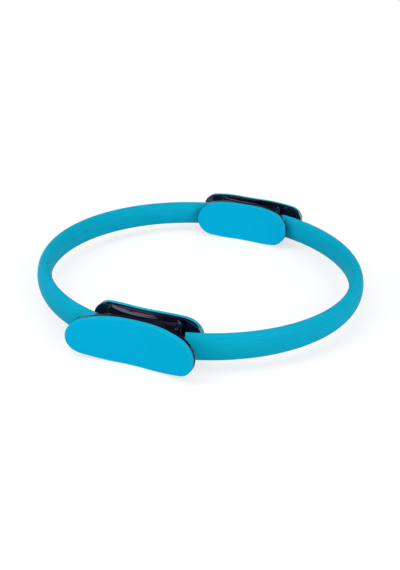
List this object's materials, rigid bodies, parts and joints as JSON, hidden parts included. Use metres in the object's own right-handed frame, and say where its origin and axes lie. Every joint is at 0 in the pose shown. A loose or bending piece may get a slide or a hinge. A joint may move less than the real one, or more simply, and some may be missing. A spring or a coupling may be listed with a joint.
{
  "type": "pilates ring",
  "caption": "Flexible exercise ring of foam-covered spring leaves with two opposite padded handles, squeezed or pulled apart against its own spring.",
  "frame": {"origin": "centre of the ring, half way up its height", "axes": "+Z along the ring's axis, up as it lies flat; +Y from the front handle to the rear handle; +X to the right"},
  "size_m": [0.3504, 0.382, 0.0464],
  "materials": {
    "moulding": "gloss",
    "pad_foam": "matte foam",
    "sleeve_foam": "satin foam",
    "liner_plastic": "matte",
    "fibreglass": "satin",
    "screw_steel": "zinc plated",
    "ferrule_steel": "plain"
  },
  "bodies": {
    "front_handle": {"front_outer_housing": "moulding", "front_inner_housing": "moulding", "front_outer_pad": "pad_foam", "front_inner_pad": "pad_foam", "front_housing_screws": "screw_steel", "front_leaf_screws": "screw_steel", "left_front_ferrule": "ferrule_steel", "right_front_ferrule": "ferrule_steel"},
    "left_side": {"left_sleeve": "sleeve_foam", "left_liner": "liner_plastic", "left_outer_leaf": "fibreglass", "left_inner_leaf": "fibreglass"},
    "right_side": {"right_sleeve": "sleeve_foam", "right_liner": "liner_plastic", "right_outer_leaf": "fibreglass", "right_inner_leaf": "fibreglass"},
    "rear_handle": {"rear_outer_housing": "moulding", "rear_inner_housing": "moulding", "rear_outer_pad": "pad_foam", "rear_inner_pad": "pad_foam", "rear_housing_screws": "screw_steel", "rear_leaf_screws": "screw_steel", "left_rear_ferrule": "ferrule_steel"},
    "right_rear_end": {"right_rear_ferrule": "ferrule_steel"}
  },
  "joints": [
    {"name": "left_front_flex", "type": "slide", "parent": "front_handle", "child": "left_side", "axis": [-0.6763, -0.7367, 0], "range_m": [-0.01357, 0.04751], "stiffness_N_per_m": 660, "deforming": ["left_sleeve", "left_liner", "left_outer_leaf", "left_inner_leaf"]},
    {"name": "left_rear_flex", "type": "slide", "parent": "left_side", "child": "rear_handle", "axis": [0.6763, -0.7367, 0], "range_m": [-0.01357, 0.04751], "stiffness_N_per_m": 660, "deforming": ["left_sleeve", "left_liner", "left_outer_leaf", "left_inner_leaf"]},
    {"name": "right_front_flex", "type": "slide", "parent": "front_handle", "child": "right_side", "axis": [0.6763, -0.7367, 0], "range_m": [-0.01357, 0.04751], "stiffness_N_per_m": 660, "deforming": ["right_sleeve", "right_liner", "right_outer_leaf", "right_inner_leaf"]},
    {"name": "right_rear_flex", "type": "slide", "parent": "right_side", "child": "right_rear_end", "axis": [-0.6763, -0.7367, 0], "range_m": [-0.01357, 0.04751], "stiffness_N_per_m": 660, "deforming": ["right_sleeve", "right_liner", "right_outer_leaf", "right_inner_leaf"]}
  ],
  "couplings": [
    {"joint": "left_rear_flex", "follows": "left_front_flex", "ratio": 1},
    {"joint": "right_front_flex", "follows": "left_front_flex", "ratio": 1},
    {"joint": "right_rear_flex", "follows": "left_front_flex", "ratio": 1}
  ]
}
